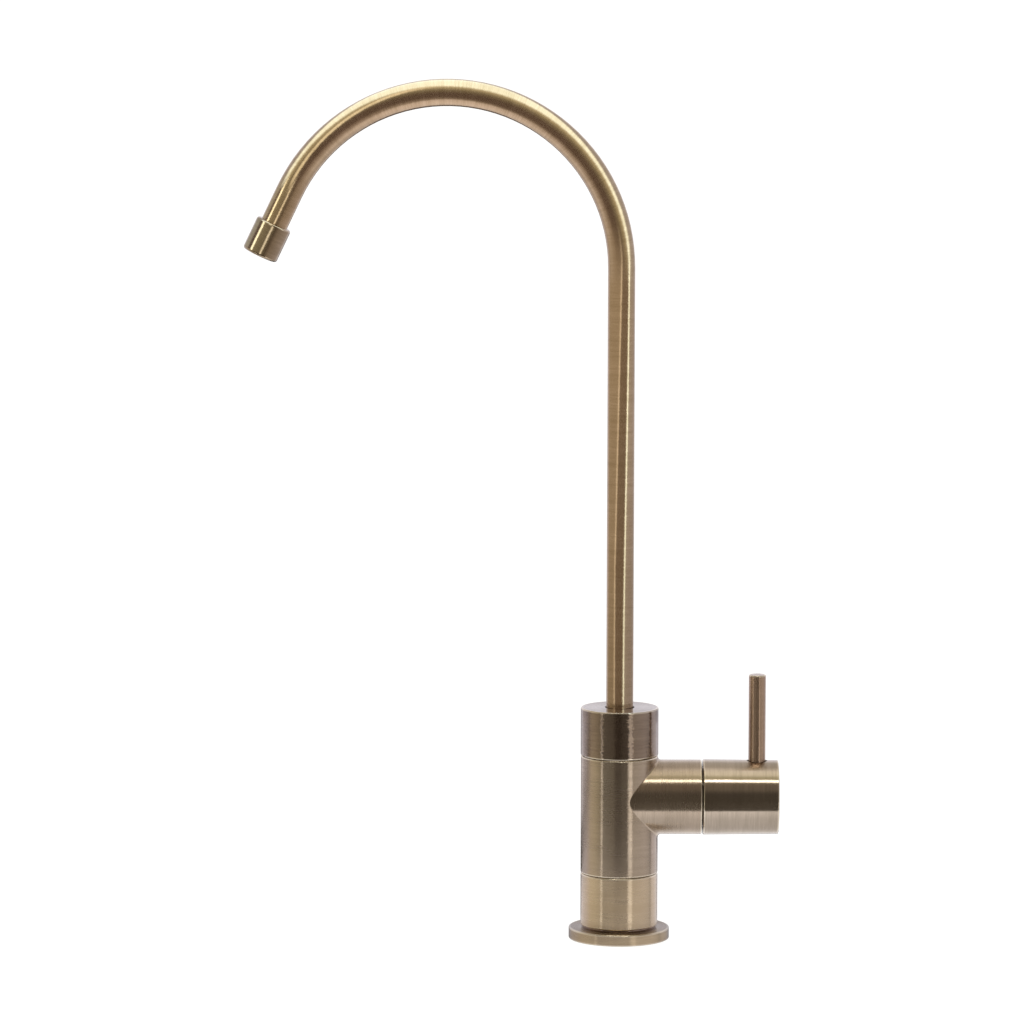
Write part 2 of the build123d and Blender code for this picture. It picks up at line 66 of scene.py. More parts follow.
bpy.ops.object.camera_add(location=CAMERA_PLACE)
camera = bpy.context.object
camera.name = "camera"
tilt = Euler((math.pi / 2 - LOOK_DOWN, 0, 0)).to_matrix()
camera.rotation_euler = (tilt @ Matrix.Rotation(ROLL, 3, "Z")).to_euler()
camera.data.sensor_width = SENSOR_WIDTH
camera.data.lens = SENSOR_WIDTH * LENS_IN_PIXELS / PICTURE_WIDTH
camera.data.clip_end = FARTHEST_SEEN
bpy.context.scene.camera = camera
print("lens in mm:", round(camera.data.lens, 1))

# %% [markdown]
# ## Shader nodes by script
# Every finish here is a net of shader nodes. In the node editor one adds each node and drags the
# links. A script does the same, so a few helpers that add a node and fill its inputs keep it short.

# %% Helpers that add and link nodes


def wire(tree, kind, *inputs, **settings):
    """Adds a node, sets its properties, and fills its inputs with values or links to other sockets."""
    node = tree.nodes.new(kind)
    for key, value in settings.items():
        setattr(node, key, value)
    for socket, value in zip(node.inputs, inputs):
        if value is not None:
            fill(tree, socket, value)
    return node


def fill(tree, socket, value):
    """Links another node's socket to an input, or sets the input to a value."""
    if isinstance(value, bpy.types.NodeSocket):
        tree.links.new(value, socket)
    else:
        socket.default_value = value


def fill_all(tree, node, values):
    """Fills a node's inputs, picked by name or number."""
    for key, value in values.items():
        fill(tree, node.inputs[key], value)


def empty_material(name):
    """A material without nodes, and its node tree."""
    material = bpy.data.materials.new(name)
    material.use_nodes = True
    material.node_tree.nodes.clear()
    return material, material.node_tree


print("helpers for nodes: wire, fill, fill_all, empty_material")

# %% Helpers that reckon with numbers and vectors


def maths(tree, operation, a, b=None, c=None):
    """A Math node's result."""
    return wire(tree, "ShaderNodeMath", a, b, c, operation=operation).outputs[0]


def vector(tree, operation, a, b=None):
    """A Vector Math node's result, a number for the operations that give one."""
    node = wire(tree, "ShaderNodeVectorMath", a, b, operation=operation)
    return node.outputs["Value" if operation in ("LENGTH", "DOT_PRODUCT") else "Vector"]


def scaled(tree, a, factor):
    """A vector times a number."""
    node = wire(tree, "ShaderNodeVectorMath", a, operation="SCALE")
    fill(tree, node.inputs["Scale"], factor)
    return node.outputs["Vector"]


print("helpers for numbers and vectors: maths, vector, scaled")

# %% Helpers that mix numbers and colours


def between(tree, value, low, high, from_tone=0.0, to_tone=1.0, kind="LINEAR"):
    """Goes from one number to another while value goes from low to high."""
    inputs = (value, low, high, from_tone, to_tone)
    return wire(tree, "ShaderNodeMapRange", *inputs, interpolation_type=kind).outputs[0]


def blended(tree, factor, first, second):
    """A mix of two colours or colour sockets."""
    node = wire(tree, "ShaderNodeMix", data_type="RGBA")
    fill_all(tree, node, {"Factor": factor, 6: first, 7: second})
    return node.outputs[2]


def ramp(tree, value, stops):
    """A ColorRamp over the given (position, brightness or colour) stops."""
    node = wire(tree, "ShaderNodeValToRGB", value)
    elements = node.color_ramp.elements
    while len(elements) < len(stops):
        elements.new(0.5)
    for element, (position, colour) in zip(elements, stops):
        element.position = position
        element.color = (*colour, 1) if isinstance(colour, tuple) else (colour, colour, colour, 1)
    return node.outputs[0]


print("helpers for mixing: between, blended, ramp")

# %% [markdown]
# ## The room
# Metal shows little of itself: what we see is the room. A photographed room as a world picture would
# do it, but it would show someone else's room. So the world's colour is painted by compass bearing
# and by height: the camera's side is dark, the walls at the sides and behind are pale, and the
# ceiling is bright. The camera itself sees plain white.

# %% Read the direction of each ray
world = bpy.data.worlds.new("studio")
bpy.context.scene.world = world
world.use_nodes = True
room = world.node_tree
room.nodes.clear()
toward = wire(room, "ShaderNodeSeparateXYZ", wire(room, "ShaderNodeTexCoord").outputs["Generated"])
x, y, z = toward.outputs
round_room = maths(room, "ARCTAN2", x, maths(room, "MULTIPLY", y, -1.0))
turn = maths(room, "MULTIPLY_ADD", round_room, 0.5 / math.pi, 0.5)
height = maths(room, "MULTIPLY_ADD", maths(room, "ARCSINE", z), 1 / math.pi, 0.5)


def at(degrees):
    """Where an azimuth lies on a ramp round the room, 0 being the camera's side."""
    return 0.5 + degrees / 360


def up(degrees):
    """Where a height lies on a ramp from the ground to the ceiling, 0 being level."""
    return 0.5 + degrees / 180


print("the ramps' middle, the camera's side and level:", at(0), up(0))

# %% Paint the walls, all the way round
walls = ramp(
    room,
    turn,
    [
        (at(-180), (0.86, 0.84, 0.90)),
        (at(-118), (0.74, 0.71, 0.79)),
        (at(-98), (0.66, 0.60, 0.50)),
        (at(-80), (0.60, 0.55, 0.43)),
        (at(-64), (0.44, 0.40, 0.31)),
        (at(-50), (0.20, 0.19, 0.16)),
        (at(-18), (0.15, 0.135, 0.11)),
        (at(-12), (0.058, 0.045, 0.033)),
        (at(2), (0.053, 0.041, 0.030)),
        (at(8), (0.10, 0.09, 0.075)),
        (at(24), (0.12, 0.105, 0.09)),
        (at(38), (0.48, 0.45, 0.42)),
        (at(80), (0.64, 0.61, 0.62)),
        (at(102), (0.56, 0.54, 0.56)),
        (at(107), (0.20, 0.19, 0.19)),
        (at(113), (0.74, 0.72, 0.79)),
        (at(180), (0.86, 0.84, 0.90)),
    ],
)
CORNER_SHADE = (0.10, 0.085, 0.08, 1)
straight_behind = ramp(room, turn, [(at(-162), 1.0), (at(-153), 0.0), (at(153), 0.0), (at(162), 1.0)])
below_level = ramp(room, height, [(up(-12), 1.0), (up(-3), 0.0)])
walls = blended(room, maths(room, "MULTIPLY", straight_behind, below_level), walls, CORNER_SHADE)
print("nodes in the world with the walls:", len(room.nodes))

# %% Paint the ceiling, from the walls up
front_ceiling = ramp(
    room,
    height,
    [
        (up(12), (0.06, 0.05, 0.045)),
        (up(30), (0.20, 0.17, 0.14)),
        (up(50), (0.24, 0.20, 0.16)),
        (up(62), (0.55, 0.52, 0.38)),
        (up(72), (0.72, 0.68, 0.50)),
        (up(79), (1.20, 1.15, 1.00)),
        (up(90), (1.20, 1.16, 1.04)),
    ],
)
back_ceiling = ramp(
    room,
    height,
    [
        (up(20), (0.95, 0.93, 0.98)),
        (up(42), (0.60, 0.57, 0.55)),
        (up(66), (0.62, 0.58, 0.54)),
        (up(76), (0.95, 0.90, 0.84)),
        (up(85), (1.20, 1.16, 1.04)),
    ],
)
behind = ramp(room, turn, [(at(-115), 1.0), (at(-85), 0.0), (at(85), 0.0), (at(115), 1.0)])
ceiling = blended(room, behind, front_ceiling, back_ceiling)
print("nodes with the ceiling:", len(room.nodes))

# %% Join walls and ceiling, and hide both from the camera
WHITE = (1, 1, 1, 1)
lifted = ramp(room, height, [(up(8), 0.0), (up(32), 1.0)])
painted = wire(room, "ShaderNodeBackground", blended(room, lifted, walls, ceiling), 1.0)
plain = wire(room, "ShaderNodeBackground", WHITE, 1.0)
by_camera = wire(room, "ShaderNodeLightPath").outputs["Is Camera Ray"]
shown = wire(room, "ShaderNodeMixShader", by_camera, painted.outputs[0], plain.outputs[0])
wire(room, "ShaderNodeOutputWorld", shown.outputs[0])
print("nodes in all:", len(room.nodes))

# %% [markdown]
# ## The lamps
# The bright lines down the column mirror tall lamps: one stands well to the left of the camera, and
# a wider one to the right. Both stand low, since upright metal that is seen from above mirrors what
# lies lower down. The line along the hub mirrors a wide lamp that hangs above and in front. They
# could be glowing boxes, but area lamps light evenly, with less grain.

# %% Hang the lamps


def lamp(name, place, aim, width, tall, watts, colour=(1, 1, 1)):
    """A flat rectangular lamp that shines from place towards aim, with its tall side upright."""
    data = bpy.data.lights.new(name, "AREA")
    data.shape = "RECTANGLE"
    data.size = width
    data.size_y = tall
    data.energy = watts
    data.color = colour
    lamp_object = bpy.data.objects.new(name, data)
    bpy.context.scene.collection.objects.link(lamp_object)
    lamp_object.location = place
    lamp_object.rotation_euler = (Vector(aim) - Vector(place)).to_track_quat("-Z", "Y").to_euler()
    lamp_object.visible_camera = False
    print(name, "size in mm:", round(width / MM), "by", round(tall / MM), "watts:", watts)


def beside_camera(azimuth, distance, high):
    """A point at a distance from the column, turned from the camera's direction."""
    turned = math.radians(azimuth)
    return (distance * math.sin(turned), -distance * math.cos(turned), high)


TALL_LAMPS_AT = -0.35
TALL = 0.52
WARM_WHITE = (1.0, 0.99, 0.95)
aim = (0, 0, TALL_LAMPS_AT)
lamp("left lamp", beside_camera(-55, 1.0, TALL_LAMPS_AT), aim, width=0.10, tall=TALL, watts=0.32)
lamp("right lamp", beside_camera(32, 1.0, TALL_LAMPS_AT), aim, width=0.22, tall=TALL, watts=0.6)
lamp("upper lamp", (0, -0.9, 1.58), (0, 0, 0.06), width=1.4, tall=0.22, watts=4.0, colour=WARM_WHITE)

# %% [markdown]
# ## The table
# The faucet stands on white paper. To the eye the paper is plain and holds a soft shadow. In the
# metal it shows only near the foot, as if it ended close by, and farther out it is clear. Two tables
# could do that, one for the eye and one for the metal, but one is simpler: its material asks Light
# Path whether a ray comes from the eye or from the metal.

# %% Lay the table
TABLE_SIZE = 40
bpy.ops.mesh.primitive_plane_add(size=TABLE_SIZE, location=(0, 0, 0))
table = bpy.context.object
table.name = "table"
paper, tree = empty_material("table_paper")
table.data.materials.append(paper)
path = wire(tree, "ShaderNodeLightPath")
place = wire(tree, "ShaderNodeSeparateXYZ", wire(tree, "ShaderNodeTexCoord").outputs["Object"])
print("table in m:", TABLE_SIZE)

# %% What the metal sees of the table
NEAR_PAPER = 76 * MM
EDGE_SOFTNESS = 5 * MM
STEEP_LOOKS = (0.62, 0.8)
RIM_LOOKS = (28 * MM, 45 * MM)
RIM_SHARE = 0.62
far_out = maths(
    tree,
    "MAXIMUM",
    maths(tree, "ABSOLUTE", place.outputs["X"]),
    maths(tree, "ABSOLUTE", place.outputs["Y"]),
)
on_paper = between(tree, far_out, NEAR_PAPER, NEAR_PAPER + EDGE_SOFTNESS, 1.0, 0.0)
facing = wire(tree, "ShaderNodeLayerWeight", 0.5).outputs["Facing"]
steep = between(tree, facing, *STEEP_LOOKS, 1.0, 0.0)
near_rim = between(tree, path.outputs["Ray Length"], *RIM_LOOKS, 1.0, 0.0)
mirrors = maths(
    tree,
    "MAXIMUM",
    maths(tree, "MULTIPLY", on_paper, steep),
    maths(tree, "MULTIPLY", near_rim, RIM_SHARE),
)
print("paper that the metal sees, from the axis in mm:", round(NEAR_PAPER / MM))

# %% How bright the metal sees it
# The paper is brighter at a slant than from straight above, and the rims see it brighter in front
# than at the sides.
PAPER_IN_METAL = (0.88, 0.87, 0.90, 1)
FROM_ABOVE, AT_A_SLANT = 0.86, 1.2
IN_FRONT, AT_THE_SIDES = 1.2, 0.66
slanted = between(tree, facing, 0.08, 0.42, FROM_ABOVE, AT_A_SLANT)
rim_tone = between(tree, place.outputs["Y"], -34 * MM, -8 * MM, IN_FRONT, AT_THE_SIDES)
rim_only = maths(tree, "MULTIPLY_ADD", near_rim, maths(tree, "SUBTRACT", rim_tone, 1.0), 1.0)
strength = maths(tree, "MULTIPLY", slanted, rim_only)
mirrored = wire(tree, "ShaderNodeEmission", PAPER_IN_METAL, strength)
clear = wire(tree, "ShaderNodeBsdfTransparent")
in_metal = wire(tree, "ShaderNodeMixShader", mirrors, clear.outputs[0], mirrored.outputs[0])
print("the paper's glow in the metal:", FROM_ABOVE, "to", AT_A_SLANT)

# %% What the eye sees of the table
PAPER_GREY = (0.45, 0.45, 0.45, 1)
PAPER_GLOW = 0.85
matt = wire(tree, "ShaderNodeBsdfDiffuse", PAPER_GREY)
glow = wire(tree, "ShaderNodeEmission", WHITE, PAPER_GLOW)
direct = wire(tree, "ShaderNodeAddShader", matt.outputs[0], glow.outputs[0])
by_metal = path.outputs["Is Glossy Ray"]
top = wire(tree, "ShaderNodeMixShader", by_metal, direct.outputs[0], in_metal.outputs[0])
wire(tree, "ShaderNodeOutputMaterial", top.outputs[0])
print("nodes in the table's paper:", len(tree.nodes))

# %% [markdown]
# ## A pale floor and a dark edge
# The undersides mirror something pale far below, and near its outline the metal mirrors something
# dark behind the foot. Two flat cards stand for a floor and for the table's shaded edge, since a
# modelled room would be far more work for the same stripes. The cards show in the metal alone: they
# throw no shadow, and neither the paper nor the camera sees them.

# %% A helper for cards that only metal sees


def plain_glow(name, colour):
    """A material that glows in one colour."""
    material, tree = empty_material(name)
    glow = wire(tree, "ShaderNodeEmission", (*colour, 1), 1.0)
    wire(tree, "ShaderNodeOutputMaterial", glow.outputs[0])
    return material


def for_metal_only(card):
    """Makes an object show only in reflections."""
    card.visible_camera = False
    card.visible_diffuse = False
    card.visible_shadow = False


print("helpers for cards: plain_glow, for_metal_only")

# %% Spread the pale floor
FLOOR_DROP = 249 * MM
FLOOR_SIZE = 818 * MM
bpy.ops.mesh.primitive_plane_add(size=FLOOR_SIZE, location=(0, 0, -FLOOR_DROP))
lower_sheet = bpy.context.object
lower_sheet.name = "lower_sheet"
for_metal_only(lower_sheet)
lower_sheet.data.materials.append(plain_glow("sheet_glow", (0.96, 0.95, 0.97)))
print("floor below the table in mm:", round(FLOOR_DROP / MM))

# %% Lay the dark edge behind the faucet
EDGE_PLACE = (-160 * MM, 141 * MM, -0.5 * MM)
EDGE_TURN = math.radians(15)
EDGE_SIZE = (580 * MM, 100 * MM, 1)
bpy.ops.mesh.primitive_plane_add(size=1, location=EDGE_PLACE, rotation=(0, 0, EDGE_TURN))
back_edge = bpy.context.object
back_edge.scale = EDGE_SIZE
back_edge.name = "table_back_edge"
for_metal_only(back_edge)
back_edge.data.materials.append(plain_glow("back_edge_shade", (0.01, 0.008, 0.01)))
print("dark edge in mm:", [round(c / MM) for c in EDGE_SIZE[:2]])

# %% [markdown]
# ## Turned and brushed grooves
# Every visible piece was turned and then brushed round its own axis. The grooves are finer than a
# pixel, so what shows is how they tilt the surface: reflections spread along the axis, and the edge
# of each bright stripe turns ragged. A picture of grooves would have to be very large, so a noise
# that is stretched round the axis tilts the normal, and an anisotropic shader spreads the rest.
# All the pieces share one node group. It gives the tilted normal and three masks: the streaks, slow
# clouds of patina, and the rims, which get a paler colour as a painted highlight.

# %% The group and its sockets


def group_socket(group, name, kind, direction, value=None):
    """Adds a named socket to a node group."""
    socket = group.interface.new_socket(name, in_out=direction, socket_type="NodeSocket" + kind)
    if value is not None:
        socket.default_value = value


grooves = bpy.data.node_groups.new("turned grooves", "ShaderNodeTree")
for name in ("Position", "Around", "Surface"):
    group_socket(grooves, name, "Vector", "INPUT")
for name, value in (("Spacing", 0.5), ("Length", 12.0), ("Tilt", 0.10), ("Waver", 0.05)):
    group_socket(grooves, name, "Float", "INPUT", value)
for name in ("First End", "Last End", "Rim Radius"):
    group_socket(grooves, name, "Float", "INPUT")
group_socket(grooves, "Normal", "Vector", "OUTPUT")
for name in ("Streaks", "Clouds", "Edges"):
    group_socket(grooves, name, "Float", "OUTPUT")
print("sockets of the grooves group:", len(grooves.interface.items_tree))

# %% Noise that is stretched round the axis
NOISE_ROUGHNESS = 0.65
given = wire(grooves, "NodeGroupInput").outputs
parts = wire(grooves, "ShaderNodeSeparateXYZ", given["Position"]).outputs
across = wire(grooves, "ShaderNodeCombineXYZ", parts["X"], parts["Y"]).outputs[0]
radius = vector(grooves, "LENGTH", across)
along = maths(grooves, "ADD", parts["Z"], radius)


def stretched(spacing, length, detail, seed):
    """Noise with lines of about that spacing and length in mm round the axis."""
    place = wire(
        grooves,
        "ShaderNodeCombineXYZ",
        maths(grooves, "DIVIDE", maths(grooves, "DIVIDE", parts["X"], MM), length),
        maths(grooves, "DIVIDE", maths(grooves, "DIVIDE", parts["Y"], MM), length),
        maths(grooves, "DIVIDE", maths(grooves, "DIVIDE", along, MM), spacing),
    )
    node = wire(grooves, "ShaderNodeTexNoise", noise_dimensions="4D")
    fill_all(grooves, node, {"Vector": place.outputs[0], "W": seed, "Scale": 1.0})
    fill_all(grooves, node, {"Detail": detail, "Roughness": NOISE_ROUGHNESS})
    return node.outputs["Fac"]


WAVER_LENGTH = 1.4
BAND_LENGTH = 20.0
GROOVES_PER_BAND = 5.0
lines = stretched(given["Spacing"], given["Length"], detail=3.0, seed=1.0)
wavers = stretched(given["Spacing"], WAVER_LENGTH, detail=2.0, seed=7.0)
band_spacing = maths(grooves, "MULTIPLY", given["Spacing"], GROOVES_PER_BAND)
bands = stretched(band_spacing, BAND_LENGTH, detail=3.0, seed=4.0)
print("shortest lines in mm:", WAVER_LENGTH, "longest:", BAND_LENGTH)

# %% The tilted normal
NOISE_MIDDLE = 0.5
lean = maths(grooves, "MULTIPLY", maths(grooves, "SUBTRACT", lines, NOISE_MIDDLE), given["Tilt"])
waver = maths(grooves, "MULTIPLY", maths(grooves, "SUBTRACT", wavers, NOISE_MIDDLE), given["Waver"])
up_slope = vector(grooves, "CROSS_PRODUCT", given["Surface"], given["Around"])
tipped = vector(grooves, "ADD", scaled(grooves, up_slope, lean), scaled(grooves, given["Around"], waver))
tilted = vector(grooves, "NORMALIZE", vector(grooves, "ADD", given["Surface"], tipped))
print("nodes in the grooves group so far:", len(grooves.nodes))

# %% Streaks, clouds and the rims' painted highlight
# The rims' mask: there a paler colour paints the highlight that a rounded rim catches.
RIM_WIDTH = (0.35 * MM, 0.65 * MM)
RIM_DEPTH = (0.45 * MM, 0.8 * MM)
CLOUDS_PER_METRE = 90.0
clouds = wire(grooves, "ShaderNodeTexNoise", noise_dimensions="3D")
fill_all(grooves, clouds, {"Vector": given["Position"], "Scale": CLOUDS_PER_METRE, "Detail": 3.0})
streaks = maths(
    grooves,
    "ADD",
    maths(grooves, "MULTIPLY", lines, 0.5),
    maths(grooves, "MULTIPLY", bands, 0.5),
)
to_end = maths(
    grooves,
    "MINIMUM",
    maths(grooves, "ABSOLUTE", maths(grooves, "SUBTRACT", parts["Z"], given["First End"])),
    maths(grooves, "ABSOLUTE", maths(grooves, "SUBTRACT", parts["Z"], given["Last End"])),
)
inside_rim = maths(grooves, "SUBTRACT", given["Rim Radius"], radius)
edges = maths(
    grooves,
    "MULTIPLY",
    between(grooves, to_end, *RIM_WIDTH, 1.0, 0.0),
    between(grooves, inside_rim, *RIM_DEPTH, 1.0, 0.0),
)
wire(grooves, "NodeGroupOutput", tilted, streaks, clouds.outputs["Fac"], edges)
print("nodes in the grooves group in all:", len(grooves.nodes))

# %% [markdown]
# ## The lines that the pieces were turned about
# The grooves need to know the axis that each piece turned about on the lathe. The column, the hub and
# the lever have straight ones. The gooseneck is a bent tube, and its grooves follow the bend: a node
# group works out how far along and how far off the bent line each point lies. A UV map could hold
# this too, but the frame's meshes come without one.

# %% Straight lines


def turned_about(axis, centre):
    """Coordinates about a straight axis, so that the piece's own axis is their Z."""
    order = {"Z": ("X", "Y", "Z"), "X": ("Y", "Z", "X")}[axis]
    along_axis = {"Z": (0, 0, 1), "X": (1, 0, 0)}[axis]

    def coordinates(tree):
        place = wire(tree, "ShaderNodeTexCoord").outputs["Object"]
        local = vector(tree, "SUBTRACT", place, centre)
        split = wire(tree, "ShaderNodeSeparateXYZ", local).outputs
        position = wire(tree, "ShaderNodeCombineXYZ", *[split[c] for c in order]).outputs[0]
        direction = wire(tree, "ShaderNodeCombineXYZ", *along_axis).outputs[0]
        around = vector(tree, "NORMALIZE", vector(tree, "CROSS_PRODUCT", direction, local))
        return position, around, wire(tree, "ShaderNodeNewGeometry").outputs["Normal"]

    return coordinates


HANDLE_Z = (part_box("handle_hub")[0].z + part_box("handle_hub")[1].z) / 2
LEVER_X = (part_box("lever_rod")[0].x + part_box("lever_rod")[1].x) / 2
column_line = turned_about("Z", (0, 0, 0))
handle_line = turned_about("X", (0, 0, HANDLE_Z))
lever_line = turned_about("Z", (LEVER_X, 0, 0))
print("handle axis at z in mm:", round(HANDLE_Z / MM, 2), "lever at x:", round(LEVER_X / MM, 2))

# %% Where the gooseneck bends
TUBE_RADIUS = 4.75 * MM
BEND_RADIUS = 60.7 * MM
BEND_SWEEP = math.radians(154.5)
BEND_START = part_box("spout_tube")[1].z - BEND_RADIUS - TUBE_RADIUS
print("bend starts at z in mm:", round(BEND_START / MM, 2))

# %% Straighten the gooseneck
bend = bpy.data.node_groups.new("straighten the gooseneck", "ShaderNodeTree")
group_socket(bend, "Place", "Vector", "INPUT")
group_socket(bend, "Position", "Vector", "OUTPUT")
group_socket(bend, "Around", "Vector", "OUTPUT")
given = wire(bend, "NodeGroupInput").outputs
from_centre = vector(bend, "SUBTRACT", given["Place"], (-BEND_RADIUS, 0, BEND_START))
split = wire(bend, "ShaderNodeSeparateXYZ", from_centre).outputs
angle = maths(bend, "SUBTRACT", math.pi / 2, maths(bend, "ARCTAN2", split["X"], split["Z"]))
angle = maths(bend, "MINIMUM", maths(bend, "MAXIMUM", angle, 0.0), BEND_SWEEP)
sine = maths(bend, "SINE", angle)
cosine = maths(bend, "COSINE", angle)
outward = wire(bend, "ShaderNodeCombineXYZ", cosine, 0.0, sine).outputs[0]
forward = wire(bend, "ShaderNodeCombineXYZ", maths(bend, "MULTIPLY", sine, -1.0), 0.0, cosine).outputs[0]
offset = maths(bend, "SUBTRACT", vector(bend, "DOT_PRODUCT", from_centre, outward), BEND_RADIUS)
ahead = vector(bend, "DOT_PRODUCT", from_centre, forward)
run = maths(bend, "MULTIPLY_ADD", angle, BEND_RADIUS, ahead)
straight = wire(bend, "ShaderNodeCombineXYZ", offset, split["Y"], run).outputs[0]
sideways = wire(bend, "ShaderNodeCombineXYZ", 0.0, split["Y"], 0.0).outputs[0]
off_line = vector(bend, "ADD", scaled(bend, outward, offset), sideways)
around_line = vector(bend, "NORMALIZE", vector(bend, "CROSS_PRODUCT", forward, off_line))
wire(bend, "NodeGroupOutput", straight, around_line)
print("nodes in the bend group:", len(bend.nodes))

# %% The gooseneck's bent line


def straightened(tree):
    """The bend group's outputs for the object's own coordinates."""
    place = wire(tree, "ShaderNodeTexCoord").outputs["Object"]
    return wire(tree, "ShaderNodeGroup", place, node_tree=bend).outputs


def spout_line(tree):
    """Coordinates about the gooseneck's centre line, as if the tube were straight."""
    outputs = straightened(tree)
    surface = wire(tree, "ShaderNodeNewGeometry").outputs["Normal"]
    return outputs["Position"], outputs["Around"], surface


print("the bend in degrees:", round(math.degrees(BEND_SWEEP), 1))

# %% [markdown]
# ## A screen round the gooseneck
# The stripes on the gooseneck drift to the right as the riser climbs, and the top of the arch is
# bright all over, so what it mirrors stands close and leans. A straight card can't do that, so a
# sleeve of light follows the bend. Only the gooseneck's own reflections see it: from outside, it is
# clear. A curve with a thick bevel would give the same sleeve, but here it is modelled as by hand: a
# circle is extruded upwards, spun round the bend's centre and extruded again past the nozzle.

# %% Bend the screen
SCREEN_RADIUS = 40 * MM
SCREEN_FOOT = 72 * MM
SCREEN_END = 30 * MM
SCREEN_SIDES = 72
BEND_STEPS = 48
SAME_PLACE = 0.01 * MM
foot = (0, 0, SCREEN_FOOT)
bpy.ops.object.select_all(action="DESELECT")
bpy.ops.mesh.primitive_circle_add(vertices=SCREEN_SIDES, radius=SCREEN_RADIUS, location=foot)
screen = bpy.context.object
screen.name = "bent_screen"
bpy.ops.object.transform_apply(location=True)
bpy.ops.object.mode_set(mode="EDIT")
bpy.ops.mesh.select_all(action="SELECT")
climb = Vector((0, 0, BEND_START - SCREEN_FOOT))
bpy.ops.mesh.extrude_region_move(TRANSFORM_OT_translate={"value": climb})
bend_centre = (-BEND_RADIUS, 0, BEND_START)
bpy.ops.mesh.spin(steps=BEND_STEPS, angle=BEND_SWEEP, center=bend_centre, axis=(0, 1, 0))
outlet_way = Vector((-math.sin(BEND_SWEEP), 0, math.cos(BEND_SWEEP)))
bpy.ops.mesh.extrude_region_move(TRANSFORM_OT_translate={"value": SCREEN_END * outlet_way})
bpy.ops.mesh.select_all(action="SELECT")
bpy.ops.mesh.remove_doubles(threshold=SAME_PLACE)
bpy.ops.mesh.fill_holes(sides=0)
bpy.ops.mesh.select_all(action="SELECT")
bpy.ops.mesh.normals_make_consistent(inside=False)
bpy.ops.object.mode_set(mode="OBJECT")
for_metal_only(screen)
lowest = min(screen.data.polygons, key=lambda face: face.center.z)
print("screen faces:", len(screen.data.polygons), "outward:", lowest.normal.z < 0)
print("screen box in mm:", [round(c / MM) for c in screen.dimensions])

# %% Find the bearing and the run of each point of the screen
# The run is the distance along the tube from the bend's start. The bearing is the angle round the
# tube, 0 towards the camera and growing to the right.
glowing, tree = empty_material("screen_glow")
screen.data.materials.append(glowing)
off_side, depth, run = wire(tree, "ShaderNodeSeparateXYZ", straightened(tree)["Position"]).outputs
bearing = maths(tree, "ARCTAN2", off_side, maths(tree, "MULTIPLY", depth, -1.0))


def past(angle):
    """How far the bearing is past an angle."""
    return maths(tree, "SUBTRACT", bearing, angle)


def round_tube(angle, stops):
    """A ramp over an angle round the tube."""
    return ramp(tree, maths(tree, "MULTIPLY_ADD", angle, 0.5 / math.pi, 0.5), stops)


def along_tube(first, last, from_tone=0.0, to_tone=1.0, kind="LINEAR"):
    """Goes from one number to another between two runs in mm."""
    return between(tree, run, first * MM, last * MM, from_tone, to_tone, kind)


print("nodes in the screen's glow so far:", len(tree.nodes))

# %% [markdown]
# ## The stripes on the screen
# The riser shows a warm lamp line at its left and a hot stripe at its right, and both drift as the
# tube climbs. Over the arch the hot stripe widens until it covers the crown's top, and the outlet
# shows two thin lines. The stripes could be lamps, one for each, but a lamp can't follow the bend. So
# each stretch of the tube has a ramp over the bearing, and the ramps are blended along the run.

# %% The light beside the riser
DEEP = (0.15, 0.11, 0.095)
SHADE = (0.27, 0.22, 0.18)
WARM = (0.50, 0.44, 0.36)
HOT = (2.1, 2.5, 2.6)
LAMP_LINE = (1.15, 1.1, 1.0)
LEAN = math.radians(0.437) / MM
left_edge = maths(tree, "MULTIPLY_ADD", run, LEAN, math.radians(2))
left_edge = maths(tree, "MAXIMUM", left_edge, math.radians(-47))
left_of_riser = round_tube(
    past(left_edge),
    [(at(-7), WARM), (at(-3), LAMP_LINE), (at(3), LAMP_LINE), (at(8), SHADE)],
)
right_edge = along_tube(-150, 5, math.radians(26), math.radians(62), "SMOOTHSTEP")
right_of_riser = round_tube(
    past(right_edge),
    [
        (at(-30), SHADE),
        (at(-14), (0.24, 0.19, 0.15)),
        (at(-5), (0.36, 0.31, 0.25)),
        (at(-1), HOT),
        (at(5), HOT),
        (at(10), (0.56, 0.55, 0.58)),
        (at(60), (0.50, 0.48, 0.52)),
    ],
)
middle = maths(tree, "MULTIPLY", maths(tree, "ADD", left_edge, right_edge), 0.5)
to_right = between(tree, past(middle), math.radians(-2), math.radians(2))
beside_riser = blended(tree, to_right, left_of_riser, right_of_riser)
beside_riser = scaled(tree, beside_riser, along_tube(-150, -50, 0.9, 1.14))
print("nodes with the riser's light:", len(tree.nodes))

# %% The light over the arch
near_outlet = along_tube(92, 126, 0.0, math.radians(14))
above_arch = round_tube(
    past(near_outlet),
    [
        (at(-115), (0.62, 0.60, 0.64)),
        (at(-88), (0.90, 0.87, 0.91)),
        (at(-70), (0.62, 0.57, 0.57)),
        (at(-50), (0.38, 0.32, 0.30)),
        (at(-34), (0.16, 0.115, 0.10)),
        (at(-4), DEEP),
        (at(20), (0.30, 0.27, 0.20)),
        (at(46), (0.78, 0.76, 0.56)),
        (at(61), HOT),
        (at(140), HOT),
    ],
)
print("nodes with the arch's light:", len(tree.nodes))

